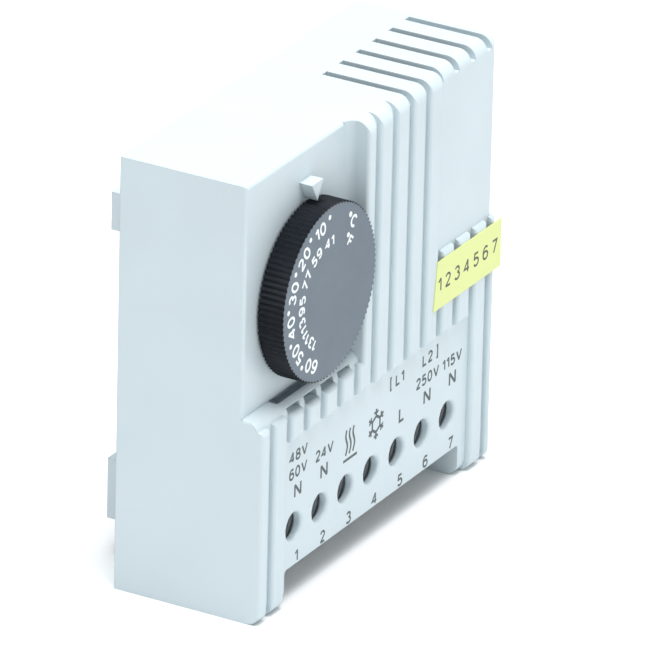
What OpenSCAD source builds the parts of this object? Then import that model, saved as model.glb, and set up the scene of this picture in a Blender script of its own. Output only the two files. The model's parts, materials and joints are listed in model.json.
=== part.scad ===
// Cabinet temperature controller with a setting dial and a changeover contact, for a 35 mm rail.
// The model is written in the case's own frame: X from the left side, Y back from the ribs'
// front faces, Z up from the standing plane. case_frame() then moves all of it so that the
// origin is the middle of the rail seat on the back. All lengths are in millimetres.

/* [Case] */
// Width of the case
body_w = 71; // [69:1:90]
// Height of the case
body_h = 71; // [69:1:90]
// Depth from the ribs' front faces to the rail seat
side_d = 25.2; // [24:0.1:34]
// Thickness of the side and top walls
wall_t = 2; // [1.4:0.1:2.6]
// Thickness of the front panel
panel_t = 2; // [1.4:0.1:2.4]
// Radius of the case's outer front edges
edge_r = 2.2; // [0.8:0.1:3]
// Radius of the outer edges round the dial recess
soft_r = 0.6; // [0.3:0.1:1]
// Height above the standing plane where the front panel ends over the wire gap
plate_z = 5.4; // [3.5:0.1:7]
// Wall and floor thickness of the hollow feet
foot_wall_t = 1.4; // [1:0.1:1.8]
// Radius of the upper corners of the wire gap
gap_r = 0.7; // [0.3:0.1:1.5]

/* [Dial recess] */
// Width of the recess at the upper left
recess_w = 30.6; // [30:0.1:33]
// Depth of the recess floor behind the ribs' front faces
recess_d = 3.6; // [3:0.1:5]
// Thickness of the recess floor
floor_t = 2.4; // [1.8:0.1:3]
// Thickness of the wall at the right of the recess
recess_wall_t = 2.4; // [1.2:0.1:3]
// Distance from the dial's centre down to the ledge
ledge_down = 15.3; // [14.5:0.1:16]
// Thickness of the ledge
ledge_t = 1.6; // [1:0.1:3]
// Front to back thickness of the ledge's rim
rim_t = 1.3; // [0.8:0.1:1.8]
// Radius of the hollow under the dial, about the dial's centre
pit_r = 18.2; // [17:0.1:19]
// Thickness of the wall round that hollow
pit_wall_t = 1.2; // [0.8:0.1:1.6]
// Fillet at the foot of the recess wall
recess_r = 1.6; // [0.4:0.1:2.4]
// Width of the pointer's top edge
pointer_w = 3.5; // [2:0.1:6]
// Height of the pointer
pointer_h = 3; // [1.5:0.1:4]
// How far the pointer stands out of the recess floor
pointer_d = 2.2; // [1:0.1:3]

/* [Ribs and vents] */
// Height of the ribs above the panel
rib_h = 0.9; // [0.5:0.1:1.4]
// Distance from one groove to the next
groove_pitch = 5.065; // [4.6:0.005:5.6]
// Width of a groove
groove_w = 1.45; // [0.8:0.05:2]
// Left edge of the first groove
first_groove_x = 2.55; // [2.2:0.05:3]
// Rounding of the ribs' long edges
rib_r = 0.6; // [0.2:0.05:0.8]
// Height of the short ribs under the ledge, above the printed field
short_rib_h = 6.6; // [4:0.1:9]
// Height of the ribs under the blank panel
low_rib_h = 14.3; // [11:0.1:20]
// Number of slots through the top wall
slot_count = 6; // [1:1:6]
// Length of the slots, from the ribs' front faces
slot_l = 15.5; // [8:0.1:18]
// Height of the tallest vent under the ledge
vent_h = 1.1; // [0.5:0.1:1.6]
// How much each vent is lower than the next one towards the dial
vent_step = 0.25; // [0:0.05:0.3]
// Distance from the ledge down to the vents
vent_drop = 1.1; // [0.6:0.1:1.6]

/* [Terminals] */
// Number of terminals
terminal_n = 7; // [7:1:7]
// Distance of the first terminal from the left side
first_terminal_x = 11.8; // [11.4:0.1:12.4]
// Distance of the last terminal from the right side
last_terminal_in = 12.1; // [11.6:0.1:12.6]
// Height of the screws' axes
terminal_z = 11.75; // [11:0.05:13]
// Diameter of the screwdriver holes
access_d = 4.5; // [3.5:0.1:5]
// Rounding of the access holes' outer edges
access_r = 0.6; // [0.1:0.05:0.8]
// Thickness of the front panel round the access holes
access_wall_t = 1.4; // [1:0.1:1.8]
// Diameter of the wire entries
wire_d = 4.2; // [3:0.1:4.4]
// Thread diameter of the clamp screws
screw_d = 3; // [2.5:0.1:3.4]
// Head diameter of the clamp screws
screw_head_d = 4.9; // [4.4:0.1:5.4]
// Height of the screw heads
screw_head_h = 1.8; // [1.4:0.1:2.2]
// Wall between two clamp pockets
pocket_web_t = 1.65; // [1.4:0.05:2]
// Height of a clamp cage
cage_h = 5.6; // [5:0.1:6]
// Thickness of a cage's threaded wall
cage_front_t = 1.5; // [1.2:0.1:1.8]
// Thickness of a cage's side and rear walls
cage_wall_t = 0.8; // [0.6:0.1:1]
// Way that a cage travels from open to clamped
cage_travel = 2; // [1.2:0.1:2.2]
// Opening for the wire in an open clamp
clamp_gap = 2.7; // [2.4:0.1:3.2]
// Thickness of the busbars
busbar_t = 0.8; // [0.6:0.1:1]

/* [Dial] */
// Centre of the dial from the left side
dial_x = 17.5; // [17.2:0.1:18]
// Distance from the top down to the dial's centre
dial_down = 22.3; // [21.6:0.1:22.8]
// Radius of the dial over its knurl
dial_r = 14; // [12:0.1:14.4]
// Thickness of the dial
dial_t = 4.3; // [3.6:0.1:5]
// Gap between the dial and the recess floor
dial_gap = 0.3; // [0.2:0.05:0.6]
// Gap between the dial and its relief in the wall beside it
relief_gap = 0.4; // [0.3:0.05:0.6]
// Thickness of the dial's face
dial_face_t = 1.4; // [1:0.1:2]
// Thickness of the dial's rim
dial_rim_t = 1.8; // [1.2:0.1:2.4]
// Number of knurl teeth
knurl_n = 96; // [60:1:120]
// Depth of the knurl
knurl_d = 0.35; // [0.15:0.05:0.5]
// Turn of the dial over its whole scale, in degrees
dial_turn = 154; // [120:1:160]
// Diameter of the dial shaft
shaft_d = 6; // [5:0.1:7]
// Outer diameter of the shaft's bush
bush_d = 8.6; // [8:0.1:9.4]

/* [Back cover and rail] */
// Thickness of the back cover
cover_t = 2; // [1.6:0.1:2.4]
// Height of the rail that the hooks take
rail_h = 35; // [34:0.5:35.5]
// Height of the rail's centre above the standing plane
rail_z = 36; // [35:0.1:37]
// Thickness of the rail's edges
rail_t = 1; // [0.8:0.1:1.5]
// How far the hooks stand out behind the rail seat
hook_d = 7.3; // [5:0.1:7.4]
// Distance of the hooks from the case's sides
hook_inset = 10; // [6:0.5:12]
// Width of one upper hook
hook_w = 12; // [8:0.5:14]
// Height of an upper hook
hook_h = 6.2; // [4:0.1:8]
// How far the upper lips reach over the rail
hook_lip = 1.8; // [1:0.1:2.5]
// How far the latch's lip reaches over the rail
latch_lip = 1.3; // [0.8:0.1:1.8]
// Way that the latch slides down to free the rail
latch_travel = 3; // [2:0.1:3.4]
// Lower edge of the latch above the standing plane
latch_z = 6; // [4.5:0.1:7]
// Width of the latch's tongue
tongue_w = 20; // [14:0.5:24]

/* [Circuit board] */
// Thickness of the circuit board
board_t = 1.6; // [1:0.1:2]
// Height of the posts that carry the board
post_h = 1.4; // [1.2:0.1:2]
// Gap between the board's edges and the side walls
board_gap = 2; // [1.2:0.1:3]
// Diameter of the board screws' threads
board_screw_d = 2.2; // [1.8:0.1:2.6]

/* [Mechanism] */
// Smallest radius of the setting cam
cam_r = 7; // [6:0.1:7.5]
// Rise of the setting cam over the whole turn
cam_rise = 3; // [2:0.1:3.2]
// Thickness of the setting cam
cam_t = 2.5; // [2:0.1:3]
// Thickness of the setting lever
lever_t = 1.9; // [1.4:0.1:2.2]
// Length of the lever's follower arm
lever_l = 13; // [12:0.1:14]
// Radius of the lever's rounded tip
tip_r = 1.2; // [0.9:0.1:1.4]
// Diameter of the lever's pin
lever_pin_d = 3; // [2:0.1:3.4]
// Distance from the left side to the contact arm
arm_x = 47; // [45:0.5:50]
// Distance of the contact arm's end from the board's top
arm_top_in = 2; // [1.5:0.1:3]
// Thickness of the contact arm and of the bimetal strip
arm_t = 0.8; // [0.6:0.1:1]
// Radius of the contact rivets' heads
contact_r = 1.4; // [1:0.1:1.8]
// Thickness of the contact rivets' heads
contact_t = 0.8; // [0.5:0.1:1]
// Swing of the contact arm between its contacts, in degrees
arm_swing = 2.1; // [1:0.1:2.5]
// Wire thickness of the range spring
range_wire_d = 0.4; // [0.3:0.05:0.5]
// Outer diameter of the range spring
range_spring_d = 3.2; // [2.4:0.1:3.6]
// Turns of the range spring
range_turns = 16; // [10:1:20]

/* [Label] */
// Length of the marker label
label_l = 20; // [12:0.5:20]
// How far the label's lower left corner stands out past the upper one
label_slant = 1; // [0:0.1:2]
// Height of the marker label
label_h = 8; // [6:0.5:9]
// Thickness of the marker label
label_t = 0.15; // [0.1:0.05:0.3]
// Height of the label's lower edge above the ribs' lower ends
label_up = 5.3; // [1:0.1:6]
// How far the label reaches past the right side of the case
label_over = 1.6; // [0:0.1:2]

/* [Fits] */
// Radial clearance of pins and shafts that turn
run_gap = 0.05; // [0.02:0.01:0.08]
// Clearance of parts that slide or lie beside moving parts
slide_gap = 0.1; // [0.08:0.01:0.15]
// Clearance of fixed parts in their seats
seat_gap = 0.1; // [0.05:0.01:0.15]
// Free space around parts that swing
swing_gap = 0.3; // [0.2:0.05:0.4]

/* [Hidden] */
$fn = 64;

// Length that cuts run past the faces that they open
over = 1;
// Places of the front panel, from front to back
panel_back = rib_h + panel_t;
recess_back = recess_d + floor_t;
cover_front = side_d - cover_t;
board_back = cover_front - post_h;
board_front = board_back - board_t;

// Heights that follow the case's top
dial_z = body_h - dial_down;
ledge_z = dial_z - ledge_down;
field_top_z = ledge_z - short_rib_h;
blank_bottom_z = field_top_z + low_rib_h;
label_z = field_top_z + label_up;

// Grooves and ribs: rib j lies between groove j and groove j + 1
groove_count = floor((body_w - first_groove_x - groove_w) / groove_pitch) + 1;
function groove_x(k) = first_groove_x + k * groove_pitch;
function rib_x0(j) = j < 0 ? 0 : groove_x(j) + groove_w;
function rib_x1(j) = j >= groove_count - 1 ? body_w : groove_x(j + 1);
// First groove past the recess, first one with a slot above it and first rib beside the label
first_tall = ceil((recess_w - first_groove_x) / groove_pitch);
first_slot = groove_count - slot_count;
first_low = first_slot + 2;
// Radius that a rib's end is rounded with
rib_end_r = rib_h;

// Terminals
last_terminal_x = body_w - last_terminal_in;
terminal_pitch = (last_terminal_x - first_terminal_x) / (terminal_n - 1);
function terminal_x(i) = first_terminal_x + i * terminal_pitch;
foot_left_x = rib_x0(1);
foot_right_x = last_terminal_x + access_d / 2 + foot_wall_t - slide_gap;
pocket_w = terminal_pitch - pocket_web_t;
cage_w = pocket_w - 2 * slide_gap;
block_wall_t = pocket_web_t / 2;
block_x0 = first_terminal_x - pocket_w / 2 - block_wall_t;
block_x1 = last_terminal_x + pocket_w / 2 + block_wall_t;
block_y0 = panel_back + seat_gap;
block_y1 = board_front - seat_gap;
block_z0 = plate_z + seat_gap;
block_floor_t = 2;
head_gap = 0.3;
head_y0 = block_y0 + head_gap;
head_y1 = head_y0 + screw_head_h;
shoulder_y = head_y1 + slide_gap;
shoulder_t = 1.3;
pocket_y0 = shoulder_y + shoulder_t;
cage_closed_y = pocket_y0 + slide_gap;
cage_open_y = cage_closed_y + cage_travel;
busbar_y0 = cage_open_y + cage_front_t + slide_gap;
busbar_y1 = busbar_y0 + busbar_t;
cage_inner_y1 = busbar_y1 + clamp_gap;
cage_y1 = cage_inner_y1 + cage_wall_t;
cage_z0 = terminal_z - cage_h / 2;
cage_z1 = terminal_z + cage_h / 2;
pocket_z0 = block_z0 + block_floor_t;
pocket_z1 = cage_z1 + swing_gap;
busbar_w = cage_w - 2 * cage_wall_t - 4 * slide_gap;
busbar_z0 = (pocket_z0 + cage_z0) / 2;
busbar_z1 = pocket_z1 + 2 * busbar_t;
block_z1 = busbar_z1 + slide_gap + block_wall_t * 2;
wire_y = busbar_y1 + clamp_gap / 2;
pin_out = 0.3;
pin_w = 1;
screw_slot_w = 0.6;
screw_slot_h = 0.8;

// Dial, shaft and cam
dial_y0 = recess_d - dial_gap - dial_t;
dial_y1 = recess_d - dial_gap;
hub_r = shaft_d / 2 + 2 * dial_face_t;
stop_r = (hub_r + dial_r - dial_rim_t) / 2;
stop_pin_r = 1;
stop_ring_t = 1.6;
stop_play = 1;
stop_wait = asin(stop_pin_r / stop_r) + stop_play;
bush_flange_t = 1;
bush_flange_out = 1.2;
bush_flange_d = bush_d + 2 * bush_flange_out;
cam_y0 = recess_back + bush_flange_t + slide_gap;
cam_y1 = cam_y0 + cam_t;
clip_t = 0.6;
clip_out = 1.5;
clip_r = shaft_d / 2 + clip_out;
shaft_y1 = cam_y1 + slide_gap + 2 * clip_t;
flat_share = 0.82;

// Lever: its pivot stands straight over the middle of the tip's travel. The cam falls as the dial
// is turned up, so the spring's pull, which holds the tip on the cam, gets less
follow_gap = 0.15;
tip_near = cam_r + tip_r + follow_gap;
tip_mid = tip_near + cam_rise / 2;
lever_x = dial_x + tip_mid;
tip_swing = asin(cam_rise / 2 / lever_l);
lever_z = dial_z + lever_l * cos(tip_swing);
lever_ratio = 2 * tip_swing / dial_turn;
lever_y0 = cam_y0 + (cam_t - lever_t) / 2;
lever_y1 = lever_y0 + lever_t;
lever_hub_wall_t = 1.5;
lever_hub_r = lever_pin_d / 2 + lever_hub_wall_t;
lever_arm_w = 1.8;
lever_boss_r = lever_hub_r;
hook_arm_l = 12;
hook_x = lever_x + hook_arm_l;
hook_z = lever_z - lever_arm_w / 2;
spring_y = lever_y0 + lever_t / 2;
spring_peg_r = 0.9;
spring_peg_l = 1.2;

// Distance from the dial's axis to the tip's centre, and its direction, when the dial has turned
// by the angle t
function tip_place(t) = [tip_mid + lever_l * sin(tip_swing - t * lever_ratio),
                         lever_l * cos(tip_swing) - lever_l * cos(tip_swing - t * lever_ratio)];
function cam_point(t) = let (p = tip_place(t), d = norm(p), a = atan2(p[1], p[0]) + t)
    (d - tip_r - follow_gap) * [cos(a), sin(a)];
cam_lead = 9;
cam_step = 5;
cam_end = dial_turn + cam_lead;
cam_back = 360 - cam_lead;
cam_r0 = norm(cam_point(-cam_lead));
cam_r1 = norm(cam_point(cam_end));
function cam_return(a) = let (s = (a - cam_end) / (cam_back - cam_end))
    (cam_r1 * (1 - s) + cam_r0 * s) * [cos(a), sin(a)];
cam_outline = concat([for (t = [-cam_lead:cam_step:cam_end - cam_step / 2]) cam_point(t)],
                     [for (a = [cam_end:cam_step:cam_back - cam_step / 2]) cam_return(a)]);

// Contact arm, its contacts and the bimetal share the board's height above the terminals
arm_share = 0.3;
arm_w_share = 0.58;
strip_share = 0.14;
contact_share = 0.65;
pusher_share = 0.34;
strip_end_share = 0.4;
board_x0 = wall_t + board_gap;
board_x1 = body_w - wall_t - board_gap;
board_z0 = block_z0 + block_floor_t;
board_z1 = body_h - wall_t - board_gap;
free_h = board_z1 - block_z1;
arm_z = block_z1 + arm_share * free_h;
arm_l = board_z1 - arm_top_in - arm_z;
contact_up = contact_share * arm_l;
arm_y0 = lever_y1 + 2 * swing_gap;
arm_w = arm_w_share * (board_front - arm_y0);
arm_y1 = arm_y0 + arm_w;
arm_mid_y = (arm_y0 + arm_y1) / 2;
post_r = 2.2;
journal_r = 1;
arm_hub_wall_t = 1;
arm_hub_r = journal_r + arm_hub_wall_t;
arm_post_y1 = arm_y1 + slide_gap;
contact_z = arm_z + contact_up;
contact_gap = contact_up * sin(arm_swing) + slide_gap;
contact_rest_gap = 0.05;
bracket_t = 0.8;
bracket_h = 4.2;
bracket_over = 1;
left_contact_x = arm_x - arm_t / 2 - contact_t - contact_rest_gap;
right_contact_x = arm_x + arm_t / 2 + contact_t + contact_gap;
armature_t = 0.7;
armature_h = 5;
armature_z0 = arm_z + arm_l - armature_h;
magnet_gap = 0.4;
magnet_w = 2.8;
magnet_x1 = arm_x - arm_t / 2 - armature_t - magnet_gap;
holder_wall_t = 1.2;
leg_t = 2;
leg_z = arm_z + leg_t / 2;
strip_off = 3.2;
strip_hinge_up = 3;
adjust_up = 3;
strip_x1 = arm_x - strip_off;
strip_x0 = strip_x1 - arm_t;
strip_z0 = block_z1 + strip_share * free_h;
strip_z1 = arm_z + strip_end_share * arm_l;
strip_hinge_z = strip_z0 + strip_hinge_up;
pusher_z = arm_z + pusher_share * arm_l;
pusher_r = 1.1;
pusher_gap = 0.1;
strip_gap = 0.15;
rivet_r = 0.8;
bracket_x1 = strip_x0 - strip_gap;
bracket_x0 = bracket_x1 - bracket_t;
adjust_z = arm_z + adjust_up;
adjust_r = 1;
adjust_l = 6;

// Board and what stands on it
board_hole_in = 4;
board_screw_low_z = block_z1 + board_hole_in;
board_screw_head_r = board_screw_d * 0.9;
board_screw_head_h = 1.2;
post_wall_t = 1.2;
post_wall_r = board_screw_d / 2 + post_wall_t;
resistor_d = 3.6;
resistor_l = 9;
resistor_pitch = 6;
resistor_lead_d = 0.7;
resistor_n = 4;
resistor_x = board_x0 + board_hole_in * 2 + resistor_d / 2;
resistor_z0 = block_z1 + 2 * block_wall_t;
capacitor_w = 13;
capacitor_h = 6;
capacitor_d = 8;
lead_in = 1;
capacitor_x = resistor_x - resistor_d / 2;
capacitor_z = resistor_z0 + resistor_l + 4 * resistor_lead_d + resistor_d;

// Rail seat, hooks and latch
hook_z0 = rail_z + rail_h / 2 + seat_gap * 2;
hook_z1 = hook_z0 + hook_h;
lip_y0 = side_d + rail_t + 3 * seat_gap;
hook_y1 = side_d + hook_d;
lip_in = 2.2;
rail_low_z = rail_z - rail_h / 2;
latch_top_z = rail_low_z - seat_gap;
latch_step = 2.4;
latch_side_z = latch_top_z - latch_step;
latch_mid_in = 9;
shelf_t = 1.4;
latch_spring_d = 1.6;
latch_wire_d = 0.3;
latch_turns = 5;
latch_spring_l = latch_travel + (latch_turns + 3) * latch_wire_d;
window_z0 = plate_z + shelf_t + 2 * slide_gap;
tongue_z0 = window_z0 + latch_spring_l;
tongue_z1 = latch_top_z - 2 * slide_gap;
window_z1 = tongue_z1 + slide_gap;
pull_w = 8;
pull_t = 1.6;
pull_h = 5;
flange_out = 2;
flange_t = 0.7;
snap_w = 6;
snap_h = 0.8;
snap_t = 1.6;
snap_back = 1.2;

module case_frame() { translate([-body_w / 2, -side_d, -rail_z]) children(); }

// A block between two values on each axis
module block(x0, x1, y0, y1, z0, z1) { translate([x0, y0, z0]) cube([x1 - x0, y1 - y0, z1 - z0]); }

// Round bars along each axis
module bar_x(x0, x1, y, z, r) { translate([x0, y, z]) rotate([0, 90, 0]) cylinder(h = x1 - x0, r = r); }
module bar_y(x, z, y0, y1, r) { translate([x, y0, z]) rotate([-90, 0, 0]) cylinder(h = y1 - y0, r = r); }
module bar_z(x, y, z0, z1, r) { translate([x, y, z0]) cylinder(h = z1 - z0, r = r); }

// An outline in X and Z between two depths, and one in Y and Z between two values of X
module plate_y(y0, y1) { translate([0, y1, 0]) rotate([90, 0, 0]) linear_extrude(y1 - y0) children(); }
module plate_x(x0, x1) { translate([x0, 0, 0]) rotate([90, 0, 90]) linear_extrude(x1 - x0) children(); }

// What a rounding of radius r takes off the corner at the origin of the first quadrant
module corner(r) {
    difference() {
        translate([-over, -over]) square(r + over);
        translate([r, r]) circle(r = r);
    }
}

// Rectangle whose corners at low x are rounded: with r0 at low y and r1 at high y
module front_rounded(x0, x1, y0, y1, r0, r1) {
    difference() {
        translate([x0, y0]) square([x1 - x0, y1 - y0]);
        translate([x0, y0]) corner(r0);
        translate([x0, y1]) mirror([0, 1]) corner(r1);
    }
}

// A rib from x0 to x1 and z0 to z1 with rounded edges and rounded ends
module rib(x0, x1, z0, z1, end0, end1) {
    back = rib_h + max(end0, end1);
    intersection() {
        translate([0, 0, z0]) linear_extrude(z1 - z0) rotate([0, 0, 90]) mirror([0, 1])
            front_rounded(0, back, x0, x1, rib_r, rib_r);
        plate_x(x0, x1) front_rounded(0, back, z0, z1, end0, end1);
    }
}

module ribs() {
    for (j = [-1, 0]) rib(rib_x0(j), rib_x1(j), 0, ledge_z - edge_r + rib_r, edge_r, rib_end_r);
    for (j = [1:first_tall - 2])
        rib(rib_x0(j), rib_x1(j), field_top_z, vent_bottom(j), rib_end_r, rib_end_r);
    rib(rib_x0(first_tall - 1), rib_x1(first_tall - 1), field_top_z, ledge_z - edge_r + rib_r, rib_end_r,
        rib_end_r);
    rib(recess_w, rib_x1(first_tall - 1), field_top_z, body_h, rib_end_r, edge_r);
    for (j = [first_tall:first_low - 1]) rib(rib_x0(j), rib_x1(j), field_top_z, body_h, rib_end_r, edge_r);
    for (j = [first_low:groove_count - 1])
        rib(rib_x0(j), rib_x1(j), j < groove_count - 2 ? field_top_z : 0, blank_bottom_z,
            j < groove_count - 2 ? rib_end_r : edge_r, rib_end_r);
}

// Vents through the rim over the short ribs, tallest under the dial's middle
function vent_size(j) = vent_h
    - vent_step * round(abs((rib_x0(j) + rib_x1(j)) / 2 - dial_x) / groove_pitch);
function vent_bottom(j) = ledge_z - vent_drop - vent_size(j);

// The case without its ribs: panel part, recess part and lower part, with their rounded edges
module case_base() {
    difference() {
        union() {
            block(recess_w, body_w, rib_h, side_d, 0, body_h);
            block(0, recess_w + wall_t, recess_d, side_d, 0, body_h);
            block(0, recess_w + wall_t, rib_h, side_d, 0, ledge_z);
        }
        plate_x(recess_w, body_w + over) translate([rib_h, body_h]) mirror([0, 1]) corner(edge_r);
        plate_x(-over, recess_w) translate([recess_d, body_h]) mirror([0, 1]) corner(soft_r);
        plate_x(-over, recess_w) translate([rib_h, ledge_z]) mirror([0, 1]) corner(edge_r);
        plate_x(-over, body_w + over) translate([rib_h, 0]) corner(edge_r);
        translate([0, recess_d, ledge_z]) linear_extrude(body_h) corner(soft_r);
        translate([body_w, rib_h, -over]) linear_extrude(body_h + 2 * over) mirror([1, 0]) corner(rib_r);
        plate_y(-over, recess_d) translate([0, ledge_z]) mirror([0, 1]) corner(soft_r);
    }
}

module recess_fillet() {
    translate([recess_w, recess_d, ledge_z]) linear_extrude(body_h - ledge_z) difference() {
        translate([-recess_r, -recess_r]) square(recess_r + wall_t / 2);
        translate([-recess_r, -recess_r]) circle(r = recess_r);
    }
}

module housing_hollow() {
    difference() {
        union() {
            block(wall_t, body_w - wall_t, panel_back, side_d + over, plate_z, ledge_z - ledge_t);
            block(wall_t, body_w - wall_t, recess_back, side_d + over, plate_z, body_h - wall_t);
        }
        intersection() {
            bar_y(dial_x, dial_z, 0, recess_back + pit_wall_t, pit_r + pit_wall_t);
            block(0, recess_w, 0, side_d, plate_z, ledge_z + pit_wall_t);
        }
    }
    block(recess_w + recess_wall_t, body_w - wall_t, panel_back, side_d + over, plate_z, body_h - wall_t);
    plate_y(-over, side_d + over) difference() {
        translate([foot_left_x, -over]) square([foot_right_x - foot_left_x, plate_z + over]);
        translate([foot_left_x, plate_z]) mirror([0, 1]) corner(gap_r);
        translate([foot_right_x, plate_z]) rotate(180) corner(gap_r);
    }
    block(wall_t, foot_left_x - foot_wall_t, panel_back, side_d + over, foot_wall_t, plate_z + over);
    block(foot_right_x + foot_wall_t, body_w - wall_t, panel_back, side_d + over,
          foot_wall_t, plate_z + over);
}

// Tabs on the cover's edges, or with a gap the pockets that they catch in
module snaps(gap) {
    for (side = [0, 1], z = [body_h * 0.3, body_h * 0.7])
        translate([side * body_w, 0, 0]) mirror([side, 0, 0])
            block(wall_t - snap_h - gap, wall_t + 2 * seat_gap, side_d - snap_back - snap_t - gap,
                  side_d - snap_back + gap, z - snap_w / 2 - gap, z + snap_w / 2 + gap);
}

module front_housing() {
    case_frame() color("#dfe9ed") {
        difference() {
            union() {
                case_base();
                ribs();
                recess_fillet();
            }
            housing_hollow();
            intersection() {
                bar_y(dial_x, dial_z, rib_h + rim_t, recess_back, pit_r);
                union() {
                    block(wall_t, recess_w - recess_r, rib_h, recess_d, ledge_z - recess_back,
                          ledge_z + over);
                    block(wall_t, recess_w - recess_r, rib_h, recess_back, ledge_z - recess_back, ledge_z);
                }
            }
            for (j = [1:first_tall - 2])
                block(rib_x0(j), rib_x1(j), -over, rib_h + rim_t + over, vent_bottom(j),
                      ledge_z - vent_drop);
            for (k = [first_slot:groove_count - 1])
                block(groove_x(k), groove_x(k) + groove_w, -over, slot_l, body_h - wall_t, body_h + over);
            for (i = [0:terminal_n - 1]) {
                bar_y(terminal_x(i), terminal_z, -over, panel_back + over, access_d / 2);
                bar_y(terminal_x(i), terminal_z, rib_h + access_wall_t, panel_back + over, pocket_w / 2);
                translate([terminal_x(i), rib_h, terminal_z]) rotate([-90, 0, 0]) rotate_extrude()
                    translate([access_d / 2, 0]) corner(access_r);
            }
            bar_y(dial_x, dial_z, recess_d - over, recess_back + over, bush_d / 2 + run_gap);
            bar_y(dial_x, dial_z, -over, recess_d, dial_r + relief_gap);
            bar_y(lever_x, lever_z, recess_d + floor_t / 2, recess_back + over, lever_pin_d / 2);
            snaps(seat_gap);
        }
        plate_y(recess_d - pointer_d, recess_d + floor_t / 4)
            polygon([[dial_x - pointer_w / 2, dial_z + dial_r + pointer_h + dial_gap],
                     [dial_x + pointer_w / 2, dial_z + dial_r + pointer_h + dial_gap],
                     [dial_x, dial_z + dial_r + dial_gap]]);
        bar_y(dial_x, dial_z - stop_r, recess_d - dial_t / 2, recess_d + floor_t / 4, stop_pin_r);
        difference() {
            bar_y(lever_x, lever_z, recess_back - floor_t / 4, lever_y0 - slide_gap, lever_boss_r);
            bar_y(lever_x, lever_z, recess_back - floor_t / 2, lever_y0, lever_pin_d / 2);
        }
    }
}

module rear_cover() {
    case_frame() color("#d3dde1") {
        difference() {
            union() {
                block(wall_t + seat_gap, body_w - wall_t - seat_gap, cover_front, side_d,
                      foot_wall_t + seat_gap, body_h - wall_t - seat_gap);
                block(foot_left_x + seat_gap, foot_right_x - seat_gap, block_y1 + 2 * seat_gap, side_d,
                      plate_z, plate_z + shelf_t);
                snaps(0);
                for (x = [board_x0 + board_hole_in, board_x1 - board_hole_in],
                     z = [board_screw_low_z, board_z1 - board_hole_in])
                    bar_y(x, z, board_back, cover_front + cover_t / 2, post_wall_r);
                for (side = [0, 1]) translate([side * body_w, 0, 0]) mirror([side, 0, 0]) upper_hook();
            }
            foot_notch();
            block(body_w / 2 - tongue_w / 2 - slide_gap, body_w / 2 + tongue_w / 2 + slide_gap,
                  cover_front - over, side_d + over, window_z0, window_z1);
            for (x = [board_x0 + board_hole_in, board_x1 - board_hole_in],
                 z = [board_screw_low_z, board_z1 - board_hole_in])
                bar_y(x, z, board_back - over, side_d - cover_t / 4, board_screw_d / 2);
        }
    }
}

// Room for the wire gap and for the feet's inner walls
module foot_notch() {
    block(foot_left_x - foot_wall_t - seat_gap, foot_right_x + foot_wall_t + seat_gap, cover_front - over,
          side_d + over, -over, plate_z);
}

module upper_hook() {
    block(hook_inset, hook_inset + hook_w, side_d - cover_t / 4, hook_y1, hook_z0, hook_z1);
    plate_x(hook_inset + lip_in, hook_inset + hook_w)
        polygon([[lip_y0, hook_z0 + hook_lip / 2], [lip_y0, hook_z0 - hook_lip],
                 [lip_y0 + hook_lip, hook_z0 - hook_lip], [hook_y1, hook_z0],
                 [hook_y1, hook_z0 + hook_lip / 2]]);
}

module rail_latch() {
    case_frame() color("#c3ced3") {
        difference() {
            block(hook_inset, body_w - hook_inset, side_d + slide_gap, hook_y1, latch_z, latch_side_z);
            block(body_w / 2 - pull_w / 2, body_w / 2 + pull_w / 2, hook_y1 - 2 * pull_t, hook_y1 - pull_t,
                  latch_z - over, latch_z + pull_h);
        }
        block(hook_inset + latch_mid_in, body_w - hook_inset - latch_mid_in, side_d + slide_gap, hook_y1,
              latch_side_z - over, latch_top_z);
        plate_x(hook_inset + latch_mid_in, body_w - hook_inset - latch_mid_in)
            polygon([[lip_y0, latch_top_z - latch_lip / 2], [lip_y0, latch_top_z + latch_lip],
                     [lip_y0 + latch_lip, latch_top_z + latch_lip], [hook_y1, latch_top_z],
                     [hook_y1, latch_top_z - latch_lip / 2]]);
        block(body_w / 2 - tongue_w / 2, body_w / 2 + tongue_w / 2, cover_front - slide_gap - flange_t,
              side_d + 2 * slide_gap, tongue_z0, tongue_z1);
        block(body_w / 2 - tongue_w / 2 - flange_out, body_w / 2 + tongue_w / 2 + flange_out,
              cover_front - slide_gap - flange_t, cover_front - slide_gap, tongue_z0,
              tongue_z1 + flange_out);
    }
}

// A coil of wire along Z whose ends run straight for one wire thickness
function coil_path(l, r, wire, turns, step) = concat(
    [[r, 0, 0]],
    [for (i = [0:turns * step]) [r * cos(i * 360 / step), r * sin(i * 360 / step),
                                 wire + (l - 2 * wire) * i / (turns * step)]],
    [[r, 0, l]]);

module coil(l, r, wire, turns) {
    step = 8;
    sides = 6;
    path = coil_path(l, r, wire, turns, step);
    last = len(path) - 1;
    least_gap = (l - 2 * wire) / turns - wire;
    echo(least_gap_of_coil = least_gap);
    rings = [for (i = [0:last])
        let (a = path[max(i - 1, 0)], b = path[min(i + 1, last)],
             t = (i == 0 || i == last) ? [0, 0, 1] : (b - a) / norm(b - a),
             out = [path[i][0], path[i][1], 0] / norm([path[i][0], path[i][1]]),
             u = out - t * (out * t), n = u / norm(u), m = cross(t, n))
        for (s = [0:sides - 1]) path[i] + wire / 2 * (cos(s * 360 / sides) * n + sin(s * 360 / sides) * m)];
    polyhedron(points = rings, faces = concat(
        [for (s = [1:sides - 2]) [0, s + 1, s]],
        [for (s = [1:sides - 2]) [last * sides, last * sides + s, last * sides + s + 1]],
        [for (i = [0:last - 1], s = [0:sides - 1]) let (n = (s + 1) % sides)
            each [[i * sides + s, i * sides + n, (i + 1) * sides + s],
                  [i * sides + n, (i + 1) * sides + n, (i + 1) * sides + s]]]));
}

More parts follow.
